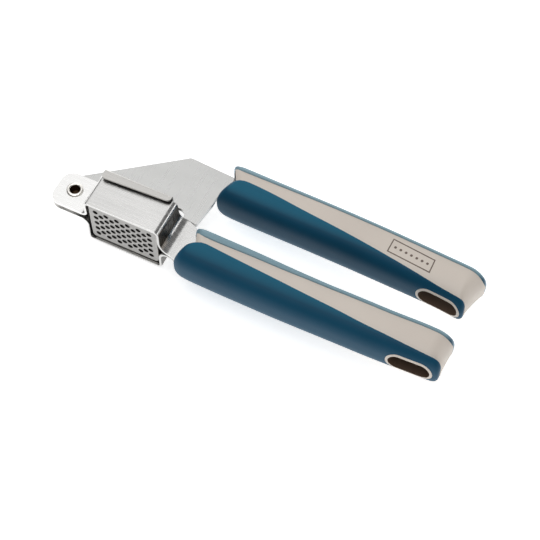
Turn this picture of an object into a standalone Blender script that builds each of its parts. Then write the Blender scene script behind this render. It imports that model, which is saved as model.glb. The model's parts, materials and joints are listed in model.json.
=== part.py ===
"""Garlic press, closed, lying on its side: two levers, a drop-in sieve basket and a swinging plunger.

+X runs from the hinge towards the handle ends, +Y the way the plunger leaves the chamber, and +Z
is up, along the hinge axis. Dimensions below are taken from the main hinge axis, in the press's
plane of symmetry. The world origin is under the middle of the press, level with what it rests on.
"""
import math

import bpy
from mathutils import Vector

MM = 0.001
WORLD_ORIGIN = (88.5, 12.11, -16.5)      # as seen from the main hinge: bottom centre of the whole press

# Driving dimensions, in millimetres.
SHEET = 1.2                 # steel of the two cheeks
PLATE = 2.0                 # steel of the press plate
GAP = 0.3                   # between pieces that touch
RUNNING = 0.08              # radial play of the two hinges

CHAMBER_X0, CHAMBER_X1 = 13.0, 47.3      # outside of the sieve basket, along X
BASKET_HALF = 12.3                       # half of its outside width, along Z
BASKET_WALL = 0.8
BASKET_Y0, BASKET_Y1 = -9.8, 8.5         # sieve face and open rim
RIM_HALF = 16.5                          # half of the width over the folded rims
RIM_DEPTH = 4.3                          # how far a rim turns back down
HOLE_PITCH_X, HOLE_PITCH_Z = 5.4, 4.2    # staggered holes of the sieve
HOLE_R = 1.25
CHEEK_HALF = 14.3                        # half of the chamber's outside width, along Z
CHEEK_Y0, CHEEK_Y1 = -10.8, 8.5

EAR_R = 8.9
EAR_SHIFT = 0.5                          # the ear is a little off the rivet, towards the sieve face
EAR_INNER = PLATE / 2 + GAP              # inner face of the ears
TANG_INNER = GAP / 2                     # the two tangs lie against each other
EYELET_R, EYELET_BORE, EYELET_HEAD = 3.0, 2.35, 3.9
BOSS_R = 8.1
HEAD_ROOM = 12.7                         # lower edge of the press plate, over the chamber

PIN_X, PIN_Y, PIN_R = 30.0, -2.6, 1.5    # axis of the plunger's pin
FACE_LEFT, FACE_RIGHT = 11.8, 15.3       # how far the plunger reaches from its pin
FACE_HALF, FACE_T = 11.0, 1.5

HANDLE_HALF = 10.8                       # half of a handle's height, along Z
SKIN, LIP = 2.2, 1.5                     # depth of a grip's face, and of its wrapped edge
HOLE_HALF_X, HOLE_HALF_Z = 9.4, 4.6      # hang hole
COLLAR = 1.2                             # core collar that lines the hole through the grips
CORNER = 4.8                             # rounding of a handle's ends
DOWEL_R = 1.5

# Where each handle runs, as (x, y) points along it: face, lens centre, back and the edge of each grip.
LOWER = {
    "x0": 57.0, "core": 62.4, "x1": 184.3, "pad_end": 183.4, "hole": 170.4, "centre": -5.8,
    "face": [(57, -14.7), (62, -16.0), (71, -16.5), (90, -16.8), (110, -16.9), (136, -16.5),
             (150, -16.35), (161, -15.95), (174, -15.4), (185, -14.8)],
    "back": [(59, 3.8), (90, 3.2), (108, 2.5), (125, 2.1), (140, 2.2), (155, 2.2), (172, 2.6), (185, 2.0)],
    "edge": [(57, -7.8), (63, -4.6), (68, -3.8), (74, -4.2), (88, -5.3), (103, -6.4), (120, -7.7),
             (133, -8.6), (146, -9.7), (157, -10.3), (168, -10.9), (175, -11.2), (185, -11.6)],
    "wrap": [(59, 3.6), (68, 4.6), (90, 4.1), (105, 3.6), (118, 3.0), (140, 2.7), (185, 2.6)],
    "blade": (-11.6, -0.2), "blade_end": 104.0, "dowels": (71.0, 90.0), "dowel_y": -7.8,
}
UPPER = {
    "x0": 59.4, "core": 62.8, "x1": 185.6, "pad_end": 181.4, "hole": 169.4, "centre": 29.4,
    "face": [(60, 22.4), (67, 21.5), (105, 21.0), (125, 20.6), (134, 20.3), (145, 19.9), (160, 19.3),
             (172, 18.4), (185, 16.5)],
    "back": [(60, 41.2), (85, 40.65), (110, 40.25), (135, 39.4), (150, 38.6), (165, 37.7),
             (178, 36.8), (185, 35.4)],
    "edge": [(60, 31.5), (67, 33.3), (81, 32.8), (100, 30.6), (116, 28.9), (130, 27.2), (145, 25.2),
             (157, 23.6), (167, 22.2), (177, 20.9), (185, 19.8)],
    "wrap": [(60, 3.6), (85, 3.0), (110, 2.7), (185, 2.5)],
    "blade": (25.8, 34.4), "blade_end": 106.0, "dowels": (71.0, 90.0), "dowel_y": 27.6,
}
SHARED = [56 + 3.5 * k for k in range(7)] + [87 + 10 * k for k in range(8)] + [161.5 + 3.5 * k for k in range(8)]
FRONT_POWER, BACK_POWER = 2.8, 6.0       # squareness of a handle's outline towards its face and its back


def clear_scene():
    for obj in list(bpy.data.objects):
        bpy.data.objects.remove(obj, do_unlink=True)


def material(name, colour, metallic, roughness):
    made = bpy.data.materials.new(name)
    made.use_nodes = True
    shader = made.node_tree.nodes["Principled BSDF"]
    shader.inputs["Base Color"].default_value = (*colour, 1.0)
    shader.inputs["Metallic"].default_value = metallic
    shader.inputs["Roughness"].default_value = roughness
    return made


def finish(obj, slot, smooth_angle=30.0):
    obj.data.materials.append(slot)
    for polygon in obj.data.polygons:
        polygon.use_smooth = True
    obj.data.set_sharp_from_angle(angle=math.radians(smooth_angle))


def solid(name, points, faces, origin=(0, 0, 0)):
    """One mesh object from points in millimetres, with its origin at a point in millimetres."""
    base = Vector(origin)
    mesh = bpy.data.meshes.new(name)
    mesh.from_pydata([(Vector(p) - base) * MM for p in points], [], faces)
    mesh.validate()
    obj = bpy.data.objects.new(name, mesh)
    obj.location = (base - Vector(WORLD_ORIGIN)) * MM
    bpy.context.scene.collection.objects.link(obj)
    return obj


def loft(name, rings, origin=(0, 0, 0)):
    """Joins closed rings of the same count, and closes both ends."""
    count = len(rings[0])
    points = [p for ring in rings for p in ring]
    faces = [tuple(reversed(range(count)))]
    for row in range(len(rings) - 1):
        a, b = row * count, (row + 1) * count
        for k in range(count):
            n = (k + 1) % count
            faces.append((a + k, a + n, b + n, b + k))
    faces.append(tuple(range((len(rings) - 1) * count, len(rings) * count)))
    return solid(name, points, faces, origin)


def signed_area(outline):
    return sum(a[0] * b[1] - b[0] * a[1] for a, b in zip(outline, outline[1:] + outline[:1])) / 2


def prism(name, outline, low, high, axis="Z", origin=(0, 0, 0)):
    """Extrudes an outline along an axis. The outline is (x, y) for Z and (x, z) for Y."""
    flip = signed_area(outline) < 0
    if axis == "Y":
        flip = not flip
    outline = list(reversed(outline)) if flip else list(outline)
    if axis == "Z":
        rings = [[(x, y, h) for x, y in outline] for h in (low, high)]
    else:
        rings = [[(x, h, z) for x, z in outline] for h in (low, high)]
    return loft(name, rings, origin)


def rounded(corners, closed=True, step=15.0):
    """An outline through (x, y, radius) corners, with each corner rounded."""
    out = []
    count = len(corners)
    for k, (x, y, r) in enumerate(corners):
        here = Vector((x, y))
        if r <= 0 or (not closed and k in (0, count - 1)):
            out.append((x, y))
            continue
        back = (Vector(corners[k - 1][:2]) - here).normalized()
        ahead = (Vector(corners[(k + 1) % count][:2]) - here).normalized()
        half = back.angle(ahead) / 2
        cut = r / math.tan(half)
        centre = here + (back + ahead).normalized() * (r / math.sin(half))
        start, end = here + back * cut - centre, here + ahead * cut - centre
        turn = math.pi - 2 * half
        if start.x * end.y - start.y * end.x < 0:
            turn = -turn
        arcs = max(2, round(abs(math.degrees(turn)) / step))
        for i in range(arcs + 1):
            a = turn * i / arcs
            c, s = math.cos(a), math.sin(a)
            out.append((centre.x + start.x * c - start.y * s, centre.y + start.x * s + start.y * c))
    return out


def circle(cx, cy, r, count=32):
    return [(cx + r * math.cos(2 * math.pi * k / count), cy + r * math.sin(2 * math.pi * k / count))
            for k in range(count)]


def stadium(cx, cz, half_x, half_z, step=15.0):
    return rounded([(cx - half_x, cz - half_z, half_z * 0.999), (cx + half_x, cz - half_z, half_z * 0.999),
                    (cx + half_x, cz + half_z, half_z * 0.999), (cx - half_x, cz + half_z, half_z * 0.999)],
                   step=step)


def strip(path, half):
    """The closed outline of a bent sheet, from its middle line and half its thickness."""
    sides = ([], [])
    for k, point in enumerate(path):
        here = Vector(point)
        before = (here - Vector(path[k - 1])).normalized() if k else None
        after = (Vector(path[k + 1]) - here).normalized() if k < len(path) - 1 else None
        run = ((before or after) + (after or before)).normalized()
        normal = Vector((-run.y, run.x))
        reach = half / max(0.5, run.dot(before or after))
        for side, sign in zip(sides, (1, -1)):
            p = here + normal * reach * sign
            side.append((p.x, p.y))
    return sides[0] + sides[1][::-1]


def boolean(obj, cutter, operation="DIFFERENCE"):
    modifier = obj.modifiers.new(cutter.name, "BOOLEAN")
    modifier.operation = operation
    modifier.solver = "EXACT"
    modifier.object = cutter
    cutter.hide_render = True
    cutter.display_type = "WIRE"


def at(stations, x):
    """The value at x of a smooth line through (x, value) points."""
    x = min(max(x, stations[0][0]), stations[-1][0])
    k = max(i for i in range(len(stations) - 1) if stations[i][0] <= x)
    slopes = []
    for i in (k, k + 1):
        (xa, va), (xb, vb) = stations[max(0, i - 1)], stations[min(len(stations) - 1, i + 1)]
        slopes.append((vb - va) / (xb - xa))
    (xa, va), (xb, vb) = stations[k], stations[k + 1]
    w, t = xb - xa, (x - xa) / (xb - xa)
    return (va * (1 + 2 * t) * (1 - t) ** 2 + slopes[0] * w * t * (1 - t) ** 2
            + vb * t * t * (3 - 2 * t) - slopes[1] * w * t * t * (1 - t))


def turned(name, profile, place, count=24):
    """Turns a (radius, z) line, which starts and ends at the axis, about a Z axis through the place."""
    points, faces = [], []
    rings = len(profile)
    for k in range(count):
        a = 2 * math.pi * k / count
        points += [(place[0] + r * math.cos(a), place[1] + r * math.sin(a), z) for r, z in profile]
    for k in range(count):
        a, b = k * rings, (k + 1) % count * rings
        faces += [(a + i, b + i, b + i + 1, a + i + 1) for i in range(rings - 1)]
    faces.append([k * rings for k in reversed(range(count))])
    faces.append([k * rings + rings - 1 for k in range(count)])
    return solid(name, points, faces, place)


def rod(name, x, y, r, low, high, origin=(0, 0, 0), count=24):
    return prism(name, circle(x, y, r, count), low, high, origin=origin)


# ---------------------------------------------------------------- chamber and lower lever

def cheek(name, side):
    """One bent sheet: ear, chamber side and half of the tang, trimmed to its outline."""
    mid = SHEET / 2
    ear, top, tang = EAR_INNER + mid, CHEEK_HALF - mid, TANG_INNER + mid
    path = rounded([(-12, ear, 0), (11.3, ear, 4.0), (12.0, top, 1.9), (48.6, top, 2.0), (48.6, tang, 5.4),
                    (112, tang, 0)], closed=False, step=18.0)
    outline = strip(path, mid)
    obj = prism(name, [(x, z * side) for x, z in outline], -20, 20, axis="Y")
    ear_arc = [(EAR_R * math.cos(math.radians(a)) + 0.3, EAR_R * math.sin(math.radians(a)) - EAR_SHIFT)
               for a in range(90, 271, 10)]
    blade_low, blade_high = LOWER["blade"]
    rest = rounded([(12, CHEEK_Y0 + 0.6, 1.0), (48, CHEEK_Y0, 3.0), (58.2, -12.1, 1.0), (61.0, blade_low, 0.5),
                    (LOWER["blade_end"], blade_low, 2.0), (LOWER["blade_end"], blade_high, 2.0),
                    (60.0, blade_high, 1.0), (60.0, 4.6, 1.0), (57.0, 7.4, 1.2), (50, CHEEK_Y1, 1.0),
                    (46.6, CHEEK_Y1, 0.4), (46.2, CHEEK_Y1 - 1.2, 0.4), (12.2, CHEEK_Y1 - 1.2, 0.4),
                    (11.8, CHEEK_Y1, 0.4)])
    boolean(obj, prism(name + "_outline", ear_arc + rest, -20, 20), "INTERSECT")
    boolean(obj, rod(name + "_eyelet_hole", 0, 0, EYELET_R + 0.05, -20, 20, count=32))
    for k, x in enumerate(LOWER["dowels"]):
        boolean(obj, rod(name + "_dowel_hole_" + str(k), x, LOWER["dowel_y"], DOWEL_R + 0.1, -20, 20))
    return obj


def sieve_basket():
    """A rectangular cup with a perforated floor and two rims folded back over the cheeks."""
    def wall(inset, radius):
        x0, x1, half = CHAMBER_X0 + inset, CHAMBER_X1 - inset, BASKET_HALF - inset
        return rounded([(x0, -half, radius), (x1, -half, radius), (x1, half, radius), (x0, half, radius)],
                       step=22.5)
    obj = prism("sieve_basket", wall(0, 2.2), BASKET_Y0, BASKET_Y1, axis="Y")
    boolean(obj, prism("basket_inside", wall(BASKET_WALL, 1.4), BASKET_Y0 + BASKET_WALL, BASKET_Y1 + 5, axis="Y"))
    for side, tag in ((1, "top"), (-1, "bottom")):
        z_in, z_out = BASKET_HALF - BASKET_WALL, RIM_HALF
        y1 = BASKET_Y1
        hook = [(y1, z_in), (y1, z_out - 0.9), (y1 - 0.9, z_out), (y1 - RIM_DEPTH, z_out),
                (y1 - RIM_DEPTH, z_out - 0.8), (y1 - 1.2, z_out - 0.8), (y1 - 0.8, z_out - 1.2),
                (y1 - 0.8, z_in + 0.7), (y1 - 1.4, z_in + 0.7), (y1 - 1.4, z_in)]
        rings = [[(x, y, z * side) for y, z in (hook if side > 0 else hook[::-1])]
                 for x in (CHAMBER_X0 - 0.2, CHAMBER_X1 - 1.4)]
        boolean(obj, loft("rim_" + tag, [ring[::-1] for ring in rings]), "UNION")
    points, faces = [], []
    middle_x, r, count = (CHAMBER_X0 + CHAMBER_X1) / 2, HOLE_R, 10
    for column in range(-5, 6):
        rows = 5 if column % 2 else 4
        for row in range(rows):
            x = middle_x + column * HOLE_PITCH_X / 2
            z = (row - (rows - 1) / 2) * HOLE_PITCH_Z
            base = len(points)
            for y in (BASKET_Y0 - 1, BASKET_Y0 + BASKET_WALL + 1):
                points += [(cx, y, cz) for cx, cz in circle(x, z, r, count)]
            faces.append([base + k for k in range(count)])
            faces.append([base + count + k for k in reversed(range(count))])
            for k in range(count):
                n = (k + 1) % count
                faces.append((base + n, base + k, base + count + k, base + count + n))
    boolean(obj, solid("sieve_holes", points, faces))
    return obj


def hinge_eyelet():
    """A semi-tubular rivet: a low solid head below, and a bored end rolled over the upper ear."""
    seat = EAR_INNER + SHEET + 0.1
    head = seat + 0.75
    profile = [(0.05, -1.0), (EYELET_BORE - 0.3, -1.0), (EYELET_BORE, -0.7), (EYELET_BORE, head - 0.2),
               (EYELET_BORE + 0.3, head), (EYELET_HEAD - 0.4, head), (EYELET_HEAD, head - 0.4),
               (EYELET_HEAD, seat), (EYELET_R, seat), (EYELET_R, -seat), (EYELET_HEAD, -seat),
               (EYELET_HEAD - 0.4, -head + 0.2), (2.4, -head - 0.05), (0.05, -head - 0.15)]
    return turned("hinge_eyelet", profile[::-1], (0, 0, 0), 32)


# ---------------------------------------------------------------- press plate and plunger

def press_plate():
    boss = [(BOSS_R * math.cos(math.radians(a)), BOSS_R * math.sin(math.radians(a))) for a in range(128, 360, 8)]
    blade_low, blade_high = UPPER["blade"]
    end = UPPER["blade_end"]
    lug, foot = 3.0, 2.75           # half width of the lug, and how far it reaches past its pin
    rest = rounded([(BOSS_R, 3.0, 0), (BOSS_R, HEAD_ROOM, 4.0), (PIN_X - 7, HEAD_ROOM, 2.0),
                    (PIN_X - lug, PIN_Y + 2, 2.0), (PIN_X - lug, PIN_Y - foot, 2.7), (PIN_X + lug, PIN_Y - foot, 2.7),
                    (PIN_X + lug, PIN_Y + 2, 2.0), (PIN_X + 7, HEAD_ROOM, 2.0), (50.2, HEAD_ROOM, 3.4),
                    (50.2, CHEEK_Y1 + 0.5, 0.4), (52.6, CHEEK_Y1 + 0.3, 1.0), (57.4, 8.0, 0.6), (59.0, 21.0, 1.0), (59.1, 25.5, 0.3),
                    (61.4, blade_low, 0.2), (end, blade_low, 2.0), (end, blade_high, 2.0),
                    (61.6, blade_high, 0.4), (61.6, 38.3, 0.4), (38.2, 39.6, 2.5)])
    obj = prism("press_plate", boss + rest, -PLATE / 2, PLATE / 2)
    boolean(obj, rod("plate_eyelet_hole", 0, 0, EYELET_R + RUNNING, -9, 9, count=32))
    boolean(obj, rod("plate_pin_hole", PIN_X, PIN_Y, PIN_R + RUNNING, -9, 9))
    for k, x in enumerate(UPPER["dowels"]):
        boolean(obj, rod("plate_dowel_hole_" + str(k), x, UPPER["dowel_y"], DOWEL_R + 0.1, -9, 9))
    return obj


def plunger_face():
    y0 = BASKET_Y0 + BASKET_WALL + 0.8
    x0, x1 = PIN_X - FACE_LEFT, PIN_X + FACE_RIGHT
    outline = rounded([(x0, -FACE_HALF, 1.8), (x1, -FACE_HALF, 1.8), (x1, FACE_HALF, 1.8), (x0, FACE_HALF, 1.8)],
                      step=30.0)
    return prism("plunger_face", outline, y0, y0 + FACE_T, axis="Y", origin=(PIN_X, PIN_Y, 0))


def plunger_bracket():
    """A folded clevis: a base on the plunger's back, and an ear on each side of the plate's lug."""
    base = BASKET_Y0 + BASKET_WALL + 0.8 + FACE_T + 0.05
    inner, outer = PLATE / 2 + GAP, PLATE / 2 + GAP + 1.2
    section = [(-outer - 3, base), (outer + 3, base), (outer + 3, base + 1.0), (outer, base + 1.0),
               (outer, PIN_Y + 3), (inner, PIN_Y + 3), (inner, base + 1.0), (-inner, base + 1.0),
               (-inner, PIN_Y + 3), (-outer, PIN_Y + 3), (-outer, base + 1.0), (-outer - 3, base + 1.0)]
    rings = [[(x, y, z) for z, y in section] for x in (PIN_X - 4.5, PIN_X + 4.5)]
    obj = loft("plunger_bracket", [ring[::-1] for ring in rings], origin=(PIN_X, PIN_Y, 0))
    boolean(obj, rod("bracket_pin_hole", PIN_X, PIN_Y, PIN_R + 0.05, -9, 9))
    return obj


def plunger_pin():
    seat = PLATE / 2 + GAP + 1.2 + 0.1
    profile = [(0.05, -seat - 0.9), (2.1, -seat - 0.7), (2.4, -seat), (PIN_R, -seat), (PIN_R, seat),
               (2.4, seat), (2.1, seat + 0.7), (0.05, seat + 0.9)]
    return turned("plunger_pin", profile, (PIN_X, PIN_Y, 0))


# ---------------------------------------------------------------- handles

def end_round(x, x0, x1, radius):
    """How far a rounded corner of an outline has pulled in at x."""
    d = max(0.0, x0 + radius - x, x - (x1 - radius))
    return radius - math.sqrt(max(0.0, radius * radius - min(d, radius) ** 2))


def section(h, x, y, inset_face=0.0, inset_side=0.0, half=HANDLE_HALF):
    """Half height of the handle's outline at y: rounder towards the face, squarer at the back."""
    centre = h["centre"]
    if y < centre:
        reach, power = centre - (at(h["face"], x) + inset_face), FRONT_POWER
    else:
        reach, power = at(h["back"], x) - inset_face - centre, BACK_POWER
    t = min(1.0, abs(y - centre) / reach)
    return max(0.02, (half - inset_side) * (1 - t ** power) ** (1 / power))


def stations(x0, x1, radius):
    """Close together round both ends, and at shared places between them, so that neighbours keep their gap."""
    near = [radius * (1 - math.cos(math.radians(a))) for a in (0, 25, 45, 62, 78)]
    shared = [x for x in SHARED if x0 + radius + 0.4 < x < x1 - radius - 0.4]
    return ([x0 + d for d in near] + [x0 + radius] + shared + [x1 - radius]
            + [x1 - d for d in reversed(near)])


def grip(name, h, towards_face, origin):
    """A soft shell on the face or on the back of a handle, wrapping a little way over both sides."""
    x0 = h["x0"] if towards_face else h["core"] + 0.4
    x1 = h["pad_end"] if towards_face else h["x1"]
    rings = []
    for x in stations(x0, x1, CORNER):
        half = HANDLE_HALF - end_round(x, x0, x1, CORNER)
        edge = at(h["edge"], x) if towards_face else at(h["back"], x) - at(h["wrap"], x)
        tip = at(h["face"], x) if towards_face else at(h["back"], x)
        inward = 1 if towards_face else -1
        outer, inner = [], []
        for k in range(9):
            f = (1 - math.cos(math.pi * k / 8)) / 2
            y = tip + (edge - tip) * f
            outer.append((y, section(h, x, y, half=half) if k else 0.0))
            y = tip + inward * min(SKIN, abs(edge - tip) * 0.7) * (1 - f) + (edge - tip) * f
            inner.append((y, section(h, x, y, 0.0, LIP, half=half) if k else 0.0))
        ring = [(x, y, z) for y, z in reversed(outer)] + [(x, y, -z) for y, z in outer[1:]]
        ring += [(x, y, -z) for y, z in reversed(inner)] + [(x, y, z) for y, z in inner[1:]]
        rings.append(ring if not towards_face else ring[::-1])
    obj = loft(name, [ring[::-1] for ring in rings], origin)
    inside = HOLE_HALF_X + COLLAR + GAP, HOLE_HALF_Z + COLLAR + GAP
    boolean(obj, prism(name + "_hole", stadium(h["hole"], 0, *inside), -40, 60, axis="Y"))
    return obj


def core(name, h, origin):
    """The hard core: it shows as a band along both sides, round the end and as the hang hole's lining."""
    x0, x1 = h["core"], h["x1"] - 0.6
    rings = []
    for x in stations(x0, x1, CORNER):
        under = HANDLE_HALF - end_round(x, h["x0"], h["pad_end"], CORNER)
        half = HANDLE_HALF - end_round(x, h["x0"], h["x1"], CORNER)
        back_half = HANDLE_HALF - end_round(x, h["core"] + 0.4, h["x1"], CORNER)
        face, back, wrap = at(h["face"], x), at(h["back"], x), at(h["wrap"], x)
        edge, far_edge = at(h["edge"], x) + GAP, back - wrap - GAP
        start, stop = min(face + SKIN + GAP, edge - 0.5), back - min(SKIN, wrap * 0.7) - GAP
        upper = [(start, 0.5)]
        for k in range(1, 7):
            y = start + (edge - start) * (1 - math.cos(math.pi / 2 * k / 6))
            upper.append((y, max(0.5, section(h, x, y, SKIN + GAP, LIP + GAP, half=under))))
        upper += [(edge + (far_edge - edge) * f, section(h, x, edge + (far_edge - edge) * f, 0, 0.6, half=half))
                  for f in (0.01, 0.5, 0.99)]
        upper += [(y, section(h, x, y, 0, LIP + GAP, half=back_half) - trim)
                  for y, trim in ((far_edge + 0.05, 0.5), (stop, 1.0))]
        rings.append([(x, y, z) for y, z in upper] + [(x, y, -z) for y, z in reversed(upper)])
    obj = loft(name, rings, origin)
    face, back = at(h["face"], h["hole"]), at(h["back"], h["hole"])
    collar = stadium(h["hole"], 0, HOLE_HALF_X + COLLAR, HOLE_HALF_Z + COLLAR)
    boolean(obj, prism(name + "_collar", collar, face + 1.2, back - 0.4, axis="Y"), "UNION")
    boolean(obj, prism(name + "_hole", stadium(h["hole"], 0, HOLE_HALF_X, HOLE_HALF_Z), -40, 60, axis="Y"))
    low, high = h["blade"]
    slot = [(40, low - GAP), (h["blade_end"] + GAP, low - GAP), (h["blade_end"] + GAP, high + GAP), (40, high + GAP)]
    boolean(obj, prism(name + "_slot", slot, -SHEET - TANG_INNER - GAP, SHEET + TANG_INNER + GAP))
    for k, x in enumerate(h["dowels"]):
        boolean(obj, rod(name + "_dowel_hole_" + str(k), x, h["dowel_y"], DOWEL_R + 0.1, -20, 20))
    return obj


def dowel(name, h, index, origin):
    x, y = h["dowels"][index], h["dowel_y"]
    half = section(h, x, y - DOWEL_R, SKIN, LIP + GAP) - 0.4
    return rod(name, x, y, DOWEL_R, -half, half, origin)


def build():
    clear_scene()
    brushed = material("brushed_steel", (0.62, 0.62, 0.60), 1.0, 0.32)
    polished = material("polished_steel", (0.70, 0.69, 0.67), 1.0, 0.16)
    sieve = material("sieve_steel", (0.60, 0.60, 0.59), 1.0, 0.35)
    plunger = material("plunger_steel", (0.58, 0.58, 0.57), 1.0, 0.30)
    beige = material("beige_core", (0.62, 0.52, 0.44), 0.0, 0.45)
    blue = material("blue_grip", (0.012, 0.085, 0.16), 0.0, 0.55)

    hinge = (0, 0, 0)
    finish(cheek("top_cheek", 1), brushed)
    finish(cheek("bottom_cheek", -1), brushed)
    finish(sieve_basket(), sieve)
    finish(hinge_eyelet(), polished)
    finish(press_plate(), brushed)
    finish(plunger_face(), plunger)
    finish(plunger_bracket(), plunger)
    finish(plunger_pin(), polished)
    for lever, h, outward in (("lower", LOWER, True), ("upper", UPPER, False)):
        finish(core(lever + "_core", h, hinge), beige)
        finish(grip(lever + ("_outer_grip" if outward else "_inner_grip"), h, True, hinge), blue)
        finish(grip(lever + ("_inner_grip" if outward else "_outer_grip"), h, False, hinge), blue)
        for k, end in enumerate(("front", "rear")):
            finish(dowel(lever + "_dowel_" + end, h, k, hinge), polished)

    for name, place in (("lever_open_axis", hinge), ("plunger_swing_axis", (PIN_X, PIN_Y, 0))):
        empty = bpy.data.objects.new(name, None)
        empty.location = (Vector(place) - Vector(WORLD_ORIGIN)) * MM
        empty.empty_display_size = 0.01
        bpy.context.scene.collection.objects.link(empty)


build()
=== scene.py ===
# %% [markdown]
# # A garlic press, dressed for its portrait
# The press lies closed on its side. Two levers turn on one bored rivet: a lower one of two
# bent steel cheeks round a sieve basket, and an upper one cut from flat plate. Each ends in a
# hard beige core under two soft blue grips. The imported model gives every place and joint, and
# this lesson gives each piece its fine shape and its finish.

# %% Load the frame
import json
import math

import bmesh
import bpy
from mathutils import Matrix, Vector

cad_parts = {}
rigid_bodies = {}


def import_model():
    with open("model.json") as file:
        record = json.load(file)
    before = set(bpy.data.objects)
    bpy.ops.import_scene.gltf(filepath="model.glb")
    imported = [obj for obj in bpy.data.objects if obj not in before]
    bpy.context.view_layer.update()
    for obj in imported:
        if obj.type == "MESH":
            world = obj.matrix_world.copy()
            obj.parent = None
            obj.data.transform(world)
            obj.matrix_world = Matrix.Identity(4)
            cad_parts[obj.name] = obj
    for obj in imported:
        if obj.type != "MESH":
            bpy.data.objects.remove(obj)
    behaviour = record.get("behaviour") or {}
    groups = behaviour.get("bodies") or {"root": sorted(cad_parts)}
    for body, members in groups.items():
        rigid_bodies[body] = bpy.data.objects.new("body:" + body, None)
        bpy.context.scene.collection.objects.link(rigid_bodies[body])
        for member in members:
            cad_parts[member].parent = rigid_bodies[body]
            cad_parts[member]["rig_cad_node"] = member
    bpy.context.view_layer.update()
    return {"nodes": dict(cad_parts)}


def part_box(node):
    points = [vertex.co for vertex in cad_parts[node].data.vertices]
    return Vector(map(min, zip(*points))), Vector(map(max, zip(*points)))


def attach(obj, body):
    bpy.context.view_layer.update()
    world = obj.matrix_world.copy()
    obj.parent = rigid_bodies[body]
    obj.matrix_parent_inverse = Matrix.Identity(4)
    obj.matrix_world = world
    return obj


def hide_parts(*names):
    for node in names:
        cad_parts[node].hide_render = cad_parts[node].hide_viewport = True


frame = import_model()
nodes = frame["nodes"]

# %% [markdown]
# ## Where things are
# Sizes below are in millimetres from the main hinge, half way through the press, because
# that is how a maker would measure it. `at` turns such a place into the frame's metres.

# %% The hinge is the datum
MM = 0.001
hinge = sum(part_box("hinge_eyelet"), Vector()) / 2


def at(x, y, z=0.0):
    return hinge + Vector((x, y, z)) * MM


print("hinge at", [round(v / MM, 2) for v in hinge], "mm")

# %% [markdown]
# ## Working as by hand
# A primitive arrives selected and so do the imported parts, so each step starts by letting go
# of everything. `choose` then picks corners, edges or faces by where they lie, which is what
# the mouse would do.

# %% Helpers for edit mode


def let_go():
    if bpy.context.mode != "OBJECT":
        bpy.ops.object.mode_set(mode="OBJECT")
    bpy.ops.object.select_all(action="DESELECT")


def hold(piece):
    let_go()
    piece.select_set(True)
    bpy.context.view_layer.objects.active = piece


def named(name):
    """Names the primitive just added, and bakes its place into its mesh."""
    piece = bpy.context.object
    piece.name = piece.data.name = name
    bpy.ops.object.transform_apply(location=True, rotation=True, scale=True)
    return piece


def edit(piece):
    hold(piece)
    bpy.ops.object.mode_set(mode="EDIT")


def choose(piece, kind, test):
    """Selects the corners, edges or faces whose middle passes the test, in mm from the hinge."""
    mode = {"verts": "VERT", "edges": "EDGE", "faces": "FACE"}[kind]
    bpy.ops.mesh.select_mode(type=mode)
    bpy.ops.mesh.select_all(action="DESELECT")
    net = bmesh.from_edit_mesh(piece.data)
    found = 0
    for item in getattr(net, kind):
        corners = [item] if kind == "verts" else item.verts
        middle = sum((v.co for v in corners), Vector()) / len(corners)
        if test(*((middle - hinge) / MM)):
            item.select_set(True)
            found += 1
    net.select_flush_mode()
    bmesh.update_edit_mesh(piece.data)
    return found


def apply_modifier(piece, kind, **settings):
    hold(piece)
    modifier = piece.modifiers.new(kind.lower(), kind)
    for key, value in settings.items():
        setattr(modifier, key, value)
    bpy.ops.object.modifier_apply(modifier=modifier.name)


def soft_edges(piece, width, segments=2, angle=35):
    """Breaks every sharp edge a little, then shades the rest smooth."""
    apply_modifier(piece, "BEVEL", width=width * MM, segments=segments, limit_method="ANGLE",
                   angle_limit=math.radians(angle), use_clamp_overlap=True, miter_outer="MITER_ARC")
    hold(piece)
    bpy.ops.object.shade_smooth_by_angle(angle=math.radians(angle))
    apply_modifier(piece, "WEIGHTED_NORMAL", keep_sharp=True, weight=80)


def cut(piece, tool, operation="DIFFERENCE"):
    """Cuts the piece with the tool, or joins or trims it, and throws the tool away."""
    apply_modifier(piece, "BOOLEAN", operation=operation, solver="EXACT", object=tool)
    bpy.data.objects.remove(tool, do_unlink=True)


def face_out(piece):
    """Merges doubled corners and turns every face outwards."""
    edit(piece)
    bpy.ops.mesh.select_all(action="SELECT")
    bpy.ops.mesh.remove_doubles(threshold=1e-6)
    bpy.ops.mesh.normals_make_consistent(inside=False)
    bpy.ops.object.mode_set(mode="OBJECT")


def report(piece):
    print(piece.name, len(piece.data.polygons), "faces,",
          " x ".join(f"{d / MM:.1f}" for d in piece.dimensions), "mm")


# %% [markdown]
# ## The two cheeks
# Each cheek is one strip of 1.2 mm steel: a round ear, a step up to the side of the chamber,
# the end wall, and half of the tang that runs into the handle. It could be cut out of a
# block, but a press brake folds a strip, so here a strip is folded too: a plane is extruded
# along the path, the folds are beveled to their radius, and Solidify gives the thickness.

# %% Fold a strip
SHEET = 1.2
CHEEK_PATH = [  # x, z of the middle line, and y of its two edges
    (12.0, 13.7, -10.8, 7.3), (48.6, 13.7, -10.8, 7.3), (48.6, 0.75, -10.8, 8.5),
    (54.4, 0.75, -11.6, 8.3), (57.8, 0.75, -12.7, 6.9), (60.6, 0.75, -12.6, 4.4),
    (104.0, 0.75, -11.4, -0.3)]
FOLDS = [(11.3, 1.9, 3.2), (12.0, 13.7, 1.9), (48.6, 13.7, 2.0), (48.6, 0.75, 5.4)]
EAR_CORNER = 5.6


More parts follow.
